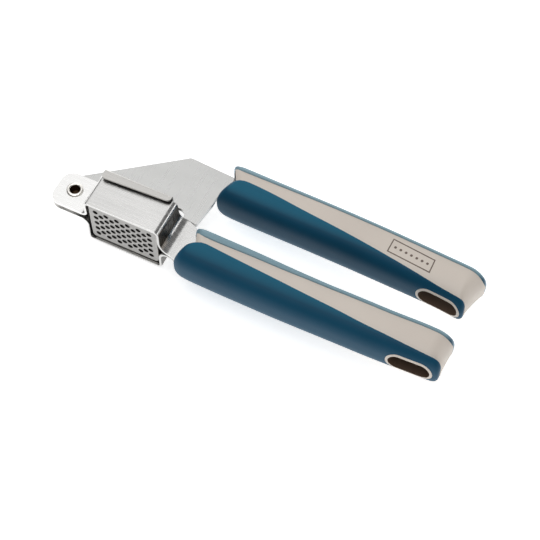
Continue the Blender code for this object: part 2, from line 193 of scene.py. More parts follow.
def folded_strip(name):
    let_go()
    bpy.ops.mesh.primitive_plane_add(size=1, location=at(1.35, -0.7, 1.9))
    bpy.context.object.scale = (19.9 * MM, 18.0 * MM, 1)
    strip = named(name)
    edit(strip)
    x, z, low, high = 11.3, 1.9, -9.7, 8.3
    for nx, nz, nlow, nhigh in CHEEK_PATH:
        choose(strip, "edges", lambda px, py, pz: abs(px - x) < 0.01 and abs(pz - z) < 0.01)
        bpy.ops.mesh.extrude_region_move(
            TRANSFORM_OT_translate={"value": ((nx - x) * MM, 0, (nz - z) * MM)})
        for old, new in ((low, nlow), (high, nhigh)):
            choose(strip, "verts", lambda px, py, pz: abs(px - nx) < 0.01
                   and abs(pz - nz) < 0.01 and abs(py - old) < 0.01)
            bpy.ops.transform.translate(value=(0, (new - old) * MM, 0))
        x, z, low, high = nx, nz, nlow, nhigh
    choose(strip, "verts", lambda px, py, pz: px < -8)
    bpy.ops.mesh.bevel(offset=EAR_CORNER * MM, segments=12, affect="VERTICES")
    for fx, fz, radius in FOLDS:
        choose(strip, "edges", lambda px, py, pz: abs(px - fx) < 0.01 and abs(pz - fz) < 0.01)
        bpy.ops.mesh.bevel(offset=radius * MM, segments=9, affect="EDGES")
    return strip


# %% Make the pair


def make_cheek(name, side):
    cheek = folded_strip(name)
    if side < 0:
        edit(cheek)
        bpy.ops.mesh.select_all(action="SELECT")
        bpy.ops.transform.resize(value=(1, 1, -1), center_override=hinge)
        bpy.ops.object.mode_set(mode="OBJECT")
    face_out(cheek)
    apply_modifier(cheek, "SOLIDIFY", thickness=SHEET * MM, offset=0, use_even_offset=True)
    let_go()
    bpy.ops.mesh.primitive_cylinder_add(vertices=64, radius=3.05 * MM, depth=30 * MM,
                                        location=at(0, 0, 0))
    cut(cheek, named("rivet_hole"))
    face_out(cheek)
    soft_edges(cheek, 0.16)
    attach(cheek, "lower_lever")
    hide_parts(name.replace("_sheet", ""))
    report(cheek)
    return cheek


top_cheek = make_cheek("top_cheek_sheet", 1)
bottom_cheek = make_cheek("bottom_cheek_sheet", -1)

# %% [markdown]
# ## The sieve basket
# A pressed steel cup with round holes in its floor. Its mouth has two rims folded back over
# the cheeks, so that it hangs in the chamber and lifts out for washing. A box gives the cup,
# a folded strip each rim, and a staggered grid of punches, in columns of four and five, gives the
# holes.

# %% The cup
CUP_X, CUP_Y, CUP_HALF, CUP_WALL = (13.0, 47.3), (-9.8, 8.5), 12.3, 0.8
RIM_X, RIM_DEPTH = (12.8, 46.4), (5.0, 3.3)
HOLE_PITCH, HOLE_R = (5.4, 4.2), 1.25


def box_between(name, low, high):
    """A cube primitive between two corners, in mm from the hinge."""
    let_go()
    low, high = Vector(low), Vector(high)
    bpy.ops.mesh.primitive_cube_add(size=1, location=at(*((low + high) / 2)))
    bpy.context.object.scale = (high - low) * MM
    return named(name)


basket = box_between("sieve_basket_cup", (CUP_X[0], CUP_Y[0], -CUP_HALF),
                     (CUP_X[1], CUP_Y[1], CUP_HALF))
edit(basket)
choose(basket, "faces", lambda x, y, z: y > CUP_Y[1] - 0.1)
bpy.ops.mesh.delete(type="FACE")
choose(basket, "edges", lambda x, y, z: abs(z) > CUP_HALF - 0.1
       and min(abs(x - CUP_X[0]), abs(x - CUP_X[1])) < 0.1)
bpy.ops.mesh.bevel(offset=2.2 * MM, segments=7, affect="EDGES")
choose(basket, "edges", lambda x, y, z: y < CUP_Y[0] + 0.1)
bpy.ops.mesh.bevel(offset=0.7 * MM, segments=3, affect="EDGES")
bpy.ops.object.mode_set(mode="OBJECT")
face_out(basket)
apply_modifier(basket, "SOLIDIFY", thickness=CUP_WALL * MM, offset=-1, use_even_offset=True)
report(basket)

# %% Drill the floor
middle = (CUP_X[0] + CUP_X[1]) / 2
punches = []
for column in range(-5, 6):
    rows = 5 if column % 2 else 4
    for row in range(rows):
        let_go()
        bpy.ops.mesh.primitive_cylinder_add(
            vertices=20, radius=HOLE_R * MM, depth=4 * MM, rotation=(math.pi / 2, 0, 0),
            location=at(middle + column * HOLE_PITCH[0] / 2, CUP_Y[0] + 0.4,
                        (row - (rows - 1) / 2) * HOLE_PITCH[1]))
        punches.append(bpy.context.object)
hold(punches[0])
for punch in punches:
    punch.select_set(True)
bpy.ops.object.join()
punch = named("punches")
cut(basket, punch)
print(len(punches), "holes in the floor")

# %% Fold the rims


def make_rim(side):
    let_go()
    width = RIM_X[1] - RIM_X[0]
    bpy.ops.mesh.primitive_plane_add(size=1, location=at(RIM_X[0] + width / 2, CUP_Y[1] - 0.4,
                                                         side * 14.0), rotation=(math.pi / 2, 0, 0))
    bpy.context.object.scale = (width * MM, 4.2 * MM, 1)
    rim = named("rim")
    edit(rim)
    choose(rim, "edges", lambda x, y, z: abs(z) > 16.0)
    bpy.ops.mesh.extrude_region_move(TRANSFORM_OT_translate={"value": (0, -4.0 * MM, 0)})
    for end, depth in zip(RIM_X, RIM_DEPTH):
        choose(rim, "verts", lambda x, y, z: y < CUP_Y[1] - 3 and abs(x - end) < 0.1)
        bpy.ops.transform.translate(value=(0, (4.4 - depth) * MM, 0))
    choose(rim, "verts", lambda x, y, z: y < CUP_Y[1] - 1.5)
    bpy.ops.mesh.bevel(offset=1.9 * MM, segments=6, affect="VERTICES")
    choose(rim, "edges", lambda x, y, z: abs(z) > 16.0 and y > CUP_Y[1] - 0.5)
    bpy.ops.mesh.bevel(offset=1.0 * MM, segments=6, affect="EDGES")
    bpy.ops.object.mode_set(mode="OBJECT")
    apply_modifier(rim, "SOLIDIFY", thickness=CUP_WALL * MM, offset=0, use_even_offset=True)
    face_out(rim)
    return rim


for side in (1, -1):
    cut(basket, make_rim(side), "UNION")
face_out(basket)
soft_edges(basket, 0.12)
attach(basket, "lower_lever")
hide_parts("sieve_basket")
report(basket)

# %% [markdown]
# ## The rivet
# One semi-tubular rivet holds both ears: a low solid head below, and above a bored end that is
# rolled outwards into a bright lip. It is a turned shape, so its wall is drawn as a run of
# rings, each extruded from the last and drawn in or out, and the two ends are filled.

# %% Roll the rivet
SEAT = 2.55
RIVET = [(0.5, -1.0), (2.0, -1.0), (2.3, -0.6), (2.35, SEAT + 0.2), (2.5, SEAT + 0.55),
         (2.8, SEAT + 0.72), (3.2, SEAT + 0.74), (3.6, SEAT + 0.6), (3.82, SEAT + 0.35),
         (3.86, SEAT + 0.02), (3.0, SEAT + 0.02), (3.0, -SEAT - 0.02), (3.86, -SEAT - 0.02),
         (3.8, -SEAT - 0.35), (3.4, -SEAT - 0.6), (2.4, -SEAT - 0.8), (1.2, -SEAT - 0.9),
         (0.4, -SEAT - 0.92)]
let_go()
bpy.ops.mesh.primitive_circle_add(vertices=64, radius=RIVET[0][0] * MM, fill_type="NGON",
                                  location=at(0, 0, RIVET[0][1]))
eyelet = named("hinge_eyelet_rolled")
edit(eyelet)
bpy.ops.mesh.select_all(action="SELECT")
for (r, z), (nr, nz) in zip(RIVET, RIVET[1:]):
    bpy.ops.mesh.extrude_region_move(TRANSFORM_OT_translate={"value": (0, 0, (nz - z) * MM)})
    bpy.ops.transform.resize(value=(nr / r, nr / r, 1), center_override=at(0, 0, nz))
bpy.ops.object.mode_set(mode="OBJECT")
face_out(eyelet)
hold(eyelet)
bpy.ops.object.shade_smooth_by_angle(angle=math.radians(50))
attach(eyelet, "lower_lever")
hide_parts("hinge_eyelet")
report(eyelet)

# %% [markdown]
# ## Flat and turned pieces
# The press plate and the plunger already have their true outlines. What they lack is the
# tumbled edge that catches the light, so each is taken as a copy of its node, its loose
# triangles are merged into whole faces, and its edges are broken.

# %% Break the edges of the plain pieces


def tumbled(node, name, body, width):
    piece = nodes[node].copy()
    piece.data = nodes[node].data.copy()
    piece.name = piece.data.name = name
    piece.parent = None
    del piece["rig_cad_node"]
    bpy.context.scene.collection.objects.link(piece)
    piece.data.materials.clear()
    edit(piece)
    bpy.ops.mesh.select_all(action="SELECT")
    bpy.ops.mesh.remove_doubles(threshold=1e-6)
    bpy.ops.mesh.dissolve_limited(angle_limit=math.radians(0.5))
    bpy.ops.object.mode_set(mode="OBJECT")
    soft_edges(piece, width)
    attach(piece, body)
    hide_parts(node)
    report(piece)
    return piece


plate = tumbled("press_plate", "press_plate_tumbled", "upper_lever", 0.22)
ram = tumbled("plunger_face", "plunger_face_tumbled", "plunger", 0.3)
clevis = tumbled("plunger_bracket", "plunger_bracket_tumbled", "plunger", 0.15)
pin = tumbled("plunger_pin", "plunger_pin_tumbled", "plunger", 0.2)

# %% [markdown]
# ## The handles
# Seen from its end a handle is a half ellipse towards the fingers and a squarer back. That
# outline swells, narrows and slides sideways all the way down, which no single extrude or
# bend can follow. So a plain round bar is extruded in many short steps, and a rule then
# moves each ring's corners onto the outline that belongs at that place.

# %% Lines down the handles
HALF, SKIN, LIP = 10.8, 2.2, 1.5
HOLE_HALF, COLLAR = (9.4, 4.6), 1.2
LOWER = dict(
    x0=57.0, core=62.4, x1=184.3, pad_end=183.4, hole=170.4, centre=-5.8, lean=0.42, nose=0.34,
    face=[(57, -14.7), (62, -16.0), (71, -16.5), (90, -16.8), (110, -16.9), (136, -16.5),
          (150, -16.35), (161, -15.95), (174, -15.4), (185, -14.8)],
    back=[(59, 3.8), (90, 3.2), (108, 2.5), (125, 2.1), (140, 2.2), (155, 2.2), (172, 2.6),
          (185, 2.0)],
    edge=[(57, -7.8), (63, -4.6), (68, -3.8), (74, -4.2), (88, -5.3), (103, -6.4), (120, -7.7),
          (133, -8.6), (146, -9.7), (157, -10.3), (168, -10.9), (175, -11.2), (185, -11.6)],
    wrap=[(59, 3.6), (68, 4.6), (90, 4.1), (105, 3.6), (118, 3.0), (140, 2.7), (185, 2.6)])
UPPER = dict(
    x0=59.4, core=62.8, x1=185.6, pad_end=181.4, hole=169.4, centre=29.4, lean=0.55, nose=0.40,
    face=[(60, 22.4), (67, 21.5), (105, 21.0), (125, 20.6), (134, 20.3), (145, 19.9), (160, 19.3),
          (172, 18.4), (185, 16.5)],
    back=[(60, 41.2), (85, 40.65), (110, 40.25), (135, 39.4), (150, 38.6), (165, 37.7),
          (178, 36.8), (185, 35.4)],
    edge=[(60, 31.5), (67, 33.3), (81, 32.8), (100, 30.6), (116, 28.9), (130, 27.2), (145, 25.2),
          (157, 23.6), (167, 22.2), (177, 20.9), (185, 19.8)],
    wrap=[(60, 3.6), (85, 3.0), (110, 2.7), (185, 2.5)])
FRONT_POWER, BACK_POWER = 2.8, 7.0


def along(line, x):
    """The value at x of a smooth line through (x, value) points."""
    x = min(max(x, line[0][0]), line[-1][0])
    k = max(i for i in range(len(line) - 1) if line[i][0] <= x)
    slopes = []
    for i in (k, k + 1):
        (xa, va), (xb, vb) = line[max(0, i - 1)], line[min(len(line) - 1, i + 1)]
        slopes.append((vb - va) / (xb - xa))
    (xa, va), (xb, vb) = line[k], line[k + 1]
    w, t = xb - xa, (x - xa) / (xb - xa)
    return (va * (1 + 2 * t) * (1 - t) ** 2 + slopes[0] * w * t * (1 - t) ** 2
            + vb * t * t * (3 - 2 * t) - slopes[1] * w * t * t * (1 - t))


def ease(t):
    t = min(1.0, max(0.0, t))
    return t * t * (3 - 2 * t)


def drawn_in(x, x0, x1, radius, tail=None):
    """How far a round corner at either end of the handle has pulled the outline in at x."""
    pull = []
    for r, d in ((radius, x0 + radius - x), (tail or radius, x - x1 + (tail or radius))):
        d = min(r, max(0.0, d))
        pull.append(r - math.sqrt(max(0.0, r * r - d * d)))
    return max(pull)


def side(h, x, y, half, inset=0.0):
    """Height of the handle's outline at y."""
    if y < h["centre"]:
        reach, power = h["centre"] - along(h["face"], x), FRONT_POWER
    else:
        reach, power = along(h["back"], x) - h["centre"], BACK_POWER
    t = min(1.0, abs(y - h["centre"]) / max(0.1, reach - inset))
    return max(0.02, half * (1 - t ** power) ** (1 / power))


# %% A bar of rings, and the rule that shapes it
CORNER, SHELL_CORNER, TAIL, SOFT = 4.6, 5.3, 8.2, 2.2


def steps(x0, x1, tail=CORNER):
    near = [1 - math.cos(math.radians(a)) for a in (0, 6, 12, 18, 25, 33, 41, 50, 60, 70, 80)]
    length = x1 - x0 - CORNER - tail
    count = int(length / 3.5)
    middle = [x0 + CORNER + length * k / count for k in range(count + 1)]
    return [x0 + CORNER * d for d in near] + middle + [x1 - tail * d for d in reversed(near)]


def ringed_bar(name, xs, ring):
    """A bar along X through the stations xs, each ring placed by ring(x)."""
    count = len(ring((xs[0] + xs[-1]) / 2))
    let_go()
    bpy.ops.mesh.primitive_circle_add(vertices=count, radius=MM, fill_type="NGON",
                                      location=at(xs[0], 0, 0), rotation=(0, math.pi / 2, 0))
    bar = named(name)
    edit(bar)
    bpy.ops.mesh.select_all(action="SELECT")
    for a, b in zip(xs, xs[1:]):
        bpy.ops.mesh.extrude_region_move(TRANSFORM_OT_translate={"value": ((b - a) * MM, 0, 0)})
    bpy.ops.object.mode_set(mode="OBJECT")
    rows = [[] for _ in xs]
    for corner in bar.data.vertices:
        x, y, z = (corner.co - hinge) / MM
        nearest = min(range(len(xs)), key=lambda k: abs(xs[k] - x))
        rows[nearest].append((math.atan2(z, y), corner.index))
    for x, row in zip(xs, rows):
        row.sort()
        for (_, index), place in zip(row, ring(x)):
            bar.data.vertices[index].co = at(*place)
    face_out(bar)
    return bar


# %% Rings of the soft pad on the face


def face_outline(h, x, front, stop, half, count=22, inset=0.0):
    """Points (y, z) from the middle of the face round to the line where the pad stops."""
    centre = h["centre"]
    out = []
    for k in range(count + 1):
        f = k / count
        turn = math.pi / 2 * f
        y = front + (stop - front) * (1 - max(0.0, math.cos(turn)) ** (2 / FRONT_POWER))
        reach = centre - front
        if y < centre:
            z = half * max(0.0, 1 - ((centre - y) / reach) ** FRONT_POWER) ** (1 / FRONT_POWER)
        else:
            z = side(h, x, y, half, inset)
        out.append((y, z))
    return out


def pad_ring(h):
    def ring(x):
        ends = h["x0"], h["pad_end"]
        pull, soft = drawn_in(x, *ends, CORNER), drawn_in(x, *ends, SOFT)
        half = HALF - pull - soft * 0.6
        front, stop = along(h["face"], x) + soft * 0.5, along(h["edge"], x) - soft * 0.2
        lip = 0.75
        outer = face_outline(h, x, front, stop - lip, half)
        top = outer[-1][1]
        roll = [(stop - lip + lip * math.sin(a), top - lip + lip * math.cos(a))
                for a in (math.radians(d) for d in (30, 60, 90))]
        open_up = ease((min(x - ends[0], ends[1] - x) - 1.8) / 2.5)
        chord = stop - 0.3
        inner = []
        for y, z in face_outline(h, x, min(front + SKIN, stop - 0.8), stop - 0.3,
                                 max(0.4, half - LIP), 10):
            inner.append((chord + (y - chord) * open_up, min(z, max(0.1, top - LIP))))
        low = [(x, y, -z) for y, z in outer + roll]
        low += [(x, y, -z) for y, z in reversed(inner[1:])]
        high = [(x, y, z) for y, z in reversed((outer + roll)[1:])]
        back = [(x, y, z) for y, z in inner]
        return low + back + high
    return ring


# %% Rings of the shell on the back


def shell_ring(h):
    def ring(x):
        x0 = h["core"] - 0.6
        pull, soft = drawn_in(x, x0, h["x1"], SHELL_CORNER, TAIL), drawn_in(x, x0, h["x1"], 1.6)
        half = HALF - pull - soft * 0.5
        back = along(h["back"], x) - soft * 0.5
        start = along(h["back"], x) - along(h["wrap"], x) + soft * 0.3
        lip = 0.6
        outer = []
        for k in range(13):
            y = start + lip + (back - start - lip) * math.sin(math.pi / 2 * k / 12)
            outer.append((y, side(h, x, y, half, soft * 0.5)))
        outer[-1] = (back, half * 0.42)
        outer.append((back + 0.02, 0.0))
        first = outer[0][1]
        roll = [(start + lip - lip * math.sin(a), first - lip + lip * math.cos(a))
                for a in (math.radians(d) for d in (90, 60, 30))]
        inner = [(back - 1.4, 0.0), (back - 1.4, half * 0.4), (back - 1.5, half * 0.75),
                 (start + 0.3, max(0.1, first - LIP))]
        bottom = [(x, y, -z) for y, z in inner] + [(x, y, -z) for y, z in roll + outer]
        top = [(x, y, z) for y, z in reversed(roll + outer[:-1])]
        top += [(x, y, z) for y, z in reversed(inner[1:])]
        return bottom + top
    return ring


# %% Rings of the core


def core_ring(h):
    def ring(x):
        pull = drawn_in(x, h["core"] - 1.0, h["x1"], CORNER, TAIL)
        half = HALF - 0.65 - pull
        face, back = along(h["face"], x), along(h["back"], x)
        edge, far = along(h["edge"], x), back - along(h["wrap"], x)
        points = [(face + SKIN + 0.4, 0.4)]
        for k in range(1, 8):
            y = face + SKIN + 0.4 + (edge - 0.6 - face - SKIN - 0.4) * math.sin(math.pi / 2 * k / 8)
            points.append((y, max(0.4, side(h, x, y, max(0.5, half - 1.4)) - 0.3)))
        for k in range(13):
            y = edge - 0.5 + (far + 1.0 - edge) * k / 12
            points.append((y, side(h, x, y, half)))
        points += [(far + 0.6, max(0.3, half - 1.6)), (back - 1.6, max(0.3, half - 2.4))]
        low = [(x, y, -z) for y, z in points]
        return low + [(x, y, z) for y, z in reversed(points)]
    return ring


def lean_nose(pad, h):
    """Leans the pad's head, so that it reaches furthest at the middle of its face."""
    for corner in pad.data.vertices:
        x, y, z = (corner.co - hinge) / MM
        head = 1 - ease((x - h["x0"]) / 14)
        corner.co.x += head * h["nose"] * max(0.0, y - along(h["face"], h["x0"] + 3)) * MM


def settle_ends(piece, h):
    """Leans the head end, and slopes the far end in from the back to where the pad stops."""
    for corner in piece.data.vertices:
        x, y, z = (corner.co - hinge) / MM
        edge, back = along(h["edge"], x), along(h["back"], x)
        middle = (edge + back) / 2
        head = 1 - ease((x - h["core"]) / 9)
        tail = ease((x - h["x1"] + 11) / 11)
        down = min(1.0, max(0.0, (back - 2.0 - y) / (back - 2.0 - edge)))
        slope = (h["x1"] - h["pad_end"] - 0.3) * down + 2.2 * down * (1 - down)
        corner.co.x += (head * h["lean"] * (middle - y) - tail * slope) * MM


# %% The hang hole's punch and collar


def stadium(name, h, grow, low, high):
    tool = box_between(name, (h["hole"] - HOLE_HALF[0] - grow, low, -HOLE_HALF[1] - grow),
                       (h["hole"] + HOLE_HALF[0] + grow, high, HOLE_HALF[1] + grow))
    edit(tool)
    choose(tool, "edges", lambda x, y, z: abs(abs(z) - HOLE_HALF[1] - grow) < 0.01
           and abs(abs(x - h["hole"]) - HOLE_HALF[0] - grow) < 0.01)
    bpy.ops.mesh.bevel(offset=(HOLE_HALF[1] + grow) * MM * 0.995, segments=14, affect="EDGES")
    bpy.ops.object.mode_set(mode="OBJECT")
    return tool


def form_ring(h):
    """The whole outline of a handle, which the collar is trimmed to."""
    def ring(x):
        front, back = along(h["face"], x) - 0.12, along(h["back"], x) + 0.1
        points = face_outline(h, x, front, h["centre"], HALF, 16)
        for k in range(1, 12):
            y = h["centre"] + (back - h["centre"]) * math.sin(math.pi / 2 * k / 12)
            points.append((y, side(h, x, y, HALF)))
        points.append((back, 1.0))
        low = [(x, y, -z) for y, z in points]
        return low + [(x, y, z) for y, z in reversed(points[1:])]
    return ring


def make_collar(name, h):
    collar = ringed_bar(name, [h["hole"] - 13 + 2 * k for k in range(14)], form_ring(h))
    cut(collar, stadium("outer", h, COLLAR, -40, 60), "INTERSECT")
    cut(collar, stadium("inner", h, 0.0, -40, 60))
    face_out(collar)
    soft_edges(collar, 0.4, 3, 40)
    return collar


# %% Build both handles


def make_handle(lever, h, face_node, back_node):
    pad = ringed_bar(face_node + "_pad", steps(h["x0"], h["pad_end"]), pad_ring(h))
    shell = ringed_bar(back_node + "_shell", steps(h["core"] - 0.6, h["x1"], TAIL), shell_ring(h))
    core = ringed_bar(lever + "_core_moulding", steps(h["core"], h["x1"], TAIL), core_ring(h))
    settle_ends(core, h)
    settle_ends(shell, h)
    lean_nose(pad, h)
    collar = make_collar(lever + "_hang_hole_collar", h)
    for piece in (pad, shell, core):
        cut(piece, stadium("punch", h, COLLAR - 0.1 if piece is not core else 0.6, -40, 60))
        face_out(piece)
        hold(piece)
        bpy.ops.object.shade_smooth_by_angle(angle=math.radians(50))
    body = lever + "_lever"
    for piece, node, slot in ((pad, face_node, "blue_grip"), (shell, back_node, "blue_grip"),
                              (core, lever + "_core", "beige_core"), (collar, None, "beige_core")):
        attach(piece, body)
        if node:
            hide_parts(node)
        report(piece)
    return pad, shell, core, collar


lower_pieces = make_handle("lower", LOWER, "lower_outer_grip", "lower_inner_grip")
upper_pieces = make_handle("upper", UPPER, "upper_inner_grip", "upper_outer_grip")

# %% [markdown]
# ## A printed frame
# A maker prints a small mark on the side of the upper core. This one is only a plain frame
# round a row of dots, a film of brown ink. A flat plane is inset, the middle is cut away, and
# Shrinkwrap lays the rest on the curved side before Solidify gives the ink its thickness.

# %% Print it
FRAME = [(141.0, 27.3), (162.0, 25.3), (161.9, 32.3), (141.2, 34.5)]
LINE, INK = 0.5, 0.04
DOTS, DOT_R, ROW_START, ROW_RUN = 7, 0.62, (141.1, 30.9), (20.9, -2.1)
let_go()
bpy.ops.mesh.primitive_plane_add(size=MM, location=at(150, 30, 13))
mark = named("upper_core_printed_frame")
corners = sorted(mark.data.vertices, key=lambda v: math.atan2(*(v.co - at(150, 30, 13)).yx))
for corner, (x, y) in zip(corners, FRAME):
    corner.co = at(x, y, 13)
edit(mark)
bpy.ops.mesh.select_all(action="SELECT")
bpy.ops.mesh.inset(thickness=LINE * MM)
bpy.ops.mesh.delete(type="FACE")
bpy.ops.mesh.select_all(action="SELECT")
bpy.ops.mesh.subdivide(number_cuts=11)
bpy.ops.object.mode_set(mode="OBJECT")
for k in range(DOTS):
    let_go()
    across = (k + 1) / (DOTS + 1)
    place = at(ROW_START[0] + ROW_RUN[0] * across, ROW_START[1] + ROW_RUN[1] * across, 13)
    bpy.ops.mesh.primitive_circle_add(vertices=14, radius=DOT_R * MM, fill_type="TRIFAN",
                                      location=place)
    mark.select_set(True)
    bpy.context.view_layer.objects.active = mark
    bpy.ops.object.join()
apply_modifier(mark, "SHRINKWRAP", target=upper_pieces[2], wrap_method="PROJECT",
               use_project_z=True, use_negative_direction=True, use_positive_direction=False,
               offset=0.02 * MM)
apply_modifier(mark, "SOLIDIFY", thickness=INK * MM, offset=1)
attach(mark, "upper_lever")
report(mark)

# %% [markdown]
# ## Finishes
# Steel that has been belt-brushed has long fine scratches one way. A noise stretched along
# that way drives both roughness and a very shallow bump.

# %% Material helpers


def finish_of(name, colour, metallic, roughness):
    made = bpy.data.materials.new(name)
    made.use_nodes = True
    tree = made.node_tree
    shader = tree.nodes["Principled BSDF"]
    shader.inputs["Base Color"].default_value = (*colour, 1)
    shader.inputs["Metallic"].default_value = metallic
    shader.inputs["Roughness"].default_value = roughness
    return made, tree, shader


def stretched_noise(tree, scale, detail=4.0, rotation=(0, 0, 0)):
    where = tree.nodes.new("ShaderNodeTexCoord")
    turn = tree.nodes.new("ShaderNodeMapping")
    turn.inputs["Scale"].default_value = scale
    turn.inputs["Rotation"].default_value = rotation
    noise = tree.nodes.new("ShaderNodeTexNoise")
    noise.inputs["Scale"].default_value = 1.0
    noise.inputs["Detail"].default_value = detail
    tree.links.new(where.outputs["Object"], turn.inputs["Vector"])
    tree.links.new(turn.outputs["Vector"], noise.inputs["Vector"])
    return noise.outputs["Fac"]


def ranged(tree, value, low, high, from_low=0.3, from_high=0.7):
    node = tree.nodes.new("ShaderNodeMapRange")
    node.inputs["From Min"].default_value = from_low
    node.inputs["From Max"].default_value = from_high
    node.inputs["To Min"].default_value = low
    node.inputs["To Max"].default_value = high
    tree.links.new(value, node.inputs["Value"])
    return node.outputs["Result"]


def blend_colour(tree, factor, first, second):
    node = tree.nodes.new("ShaderNodeMix")
    node.data_type = "RGBA"
    node.inputs["A"].default_value = (*first, 1)
    node.inputs["B"].default_value = (*second, 1)
    tree.links.new(factor, node.inputs["Factor"])
    return node.outputs["Result"]


def bump(tree, shader, height, strength, distance):
    node = tree.nodes.new("ShaderNodeBump")
    node.inputs["Strength"].default_value = strength
    node.inputs["Distance"].default_value = distance
    tree.links.new(height, node.inputs["Height"])
    tree.links.new(node.outputs["Normal"], shader.inputs["Normal"])


def brushed(name, colour, roughness, scale, strength=0.25, rotation=(0, 0, 0)):
    """Steel with fine scratches, long in the direction where the scale is small."""
    made, tree, shader = finish_of(name, colour, 1.0, roughness)
    fine = stretched_noise(tree, scale, 5.0, rotation)
    broad = stretched_noise(tree, (30, 90, 90), 2.0)
    tree.links.new(ranged(tree, fine, roughness - 0.07, roughness + 0.09),
                   shader.inputs["Roughness"])
    darker = tuple(c * 0.93 for c in colour)
    tree.links.new(blend_colour(tree, ranged(tree, broad, 0, 1), darker, colour),
                   shader.inputs["Base Color"])
    bump(tree, shader, fine, strength, 0.00002)
    return made


def along_x(tree, start, end):
    """0 at x = start and 1 at x = end, in mm from the hinge."""
    where = tree.nodes.new("ShaderNodeTexCoord")
    parts = tree.nodes.new("ShaderNodeSeparateXYZ")
    tree.links.new(where.outputs["Object"], parts.inputs["Vector"])
    return ranged(tree, parts.outputs["X"], 0.0, 1.0, at(start, 0).x, at(end, 0).x)


cheek_steel = brushed("cheek_steel", (0.66, 0.655, 0.645), 0.24, (40, 1700, 40), 0.03)
tree = cheek_steel.node_tree
shader = tree.nodes["Principled BSDF"]
body_colour = shader.inputs["Base Color"].links[0].from_socket
# The ear, out to x = 8 mm and fading out by 14 mm, is painted lighter than the rest of the cheek: a
# painted highlight.
blend = blend_colour(tree, along_x(tree, 8.0, 14.0), (0.84, 0.835, 0.825), (0.6, 0.6, 0.6))
tree.links.new(body_colour, blend.node.inputs["B"])
tree.links.new(blend, shader.inputs["Base Color"])
plate_steel = brushed("plate_steel", (0.57, 0.57, 0.56), 0.30, (1100, 40, 1100), 0.03, (0, 0, 0.35))
cup_steel = brushed("cup_steel", (0.53, 0.52, 0.50), 0.30, (40, 1700, 1700), 0.03)
sieve_steel = brushed("sieve_face_steel", (0.36, 0.355, 0.345), 0.36, (700, 700, 700), 0.05)
# Near black steel for the inside of the cup and under its rims: painted shade.
cup_painted_shade = brushed("basket_inside_painted_shade", (0.10, 0.095, 0.09), 0.5, (600, 600, 600), 0.05)
ram_steel = brushed("ram_steel", (0.56, 0.555, 0.545), 0.33, (900, 900, 900))
rivet_steel = brushed("rivet_steel", (0.95, 0.92, 0.87), 0.24, (700, 700, 700), 0.1)
# Near black steel for the chamber's end wall: painted shade.
wall_painted_shade = brushed("end_wall_steel", (0.13, 0.125, 0.115), 0.26, (40, 900, 40), 0.01)
# Dark brown for the inside of the rivet's bore: painted shade.
bore_painted_shade = brushed("rivet_bore_brown", (0.11, 0.07, 0.045), 0.45, (500, 500, 500), 0.15)


def away_from_middle(tree, start, end):
    """0 at start and 1 at end, in mm above or below the plane half way through the press."""
    where = tree.nodes.new("ShaderNodeTexCoord")
    parts = tree.nodes.new("ShaderNodeSeparateXYZ")
    off = tree.nodes.new("ShaderNodeMath")
    off.operation = "SUBTRACT"
    off.inputs[1].default_value = hinge.z
    size = tree.nodes.new("ShaderNodeMath")
    size.operation = "ABSOLUTE"
    tree.links.new(where.outputs["Object"], parts.inputs["Vector"])
    tree.links.new(parts.outputs["Z"], off.inputs[0])
    tree.links.new(off.outputs[0], size.inputs[0])
    return ranged(tree, size.outputs[0], 0.0, 1.0, start * MM, end * MM)


def soft_rubber(name, colour, light, roughness, lip=None):
    """A matt moulded finish. A lip (start, end, colour) blends in a lighter colour away from the
    middle plane, as a painted highlight on the edges.
    """
    made, tree, shader = finish_of(name, colour, 0.0, roughness)
    grain = stretched_noise(tree, (2400, 2400, 2400), 2.0)
    cloud = stretched_noise(tree, (35, 35, 35), 3.0)
    mottled = blend_colour(tree, ranged(tree, cloud, 0, 1), colour, light)
    if lip:
        start, end, pale = lip
        # Painted highlight: the colour turns lighter towards the edges, away from the middle plane.
        edge_painted_highlight = blend_colour(tree, away_from_middle(tree, start, end), (0, 0, 0), pale)
        tree.links.new(mottled, edge_painted_highlight.node.inputs["A"])
        mottled = edge_painted_highlight
    tree.links.new(mottled, shader.inputs["Base Color"])
    tree.links.new(ranged(tree, grain, roughness - 0.04, roughness + 0.05),
                   shader.inputs["Roughness"])
    bump(tree, shader, grain, 0.18, 0.00004)
    return made


# The pad's edges, beyond 9.9 mm from the middle plane, are painted a lighter blue: a painted
# highlight.
blue = soft_rubber("blue_soft_grip", (0.001, 0.056, 0.112), (0.0015, 0.064, 0.126), 0.5,
                   lip=(9.9, 11.0, (0.006, 0.125, 0.21)))
skin = blue.node_tree.nodes["Principled BSDF"].inputs
skin["Specular IOR Level"].default_value = 0.18
skin["Sheen Weight"].default_value = 0.22
skin["Sheen Roughness"].default_value = 0.45
skin["Sheen Tint"].default_value = (0.55, 0.80, 1.0, 1)
# The shell's edges, beyond 7.6 mm from the middle plane, are painted pale teal: a painted
# highlight.
shell_blue = soft_rubber("blue_soft_shell", (0.006, 0.072, 0.130), (0.009, 0.082, 0.145), 0.38,
                         lip=(7.6, 9.8, (0.20, 0.33, 0.39)))
skin = shell_blue.node_tree.nodes["Principled BSDF"].inputs
skin["Sheen Weight"].default_value = 0.9
skin["Sheen Roughness"].default_value = 0.35
skin["Sheen Tint"].default_value = (0.62, 0.86, 1.0, 1)
beige = soft_rubber("beige_hard_core", (0.70, 0.625, 0.555), (0.74, 0.665, 0.59), 0.42)
# Dark brown for the inner wall of the hang holes: painted shade.
hole_painted_shade = soft_rubber("hang_hole_brown", (0.075, 0.045, 0.028), (0.11, 0.068, 0.043), 0.5)
ink = soft_rubber("brown_ink", (0.13, 0.095, 0.075), (0.17, 0.125, 0.10), 0.6)

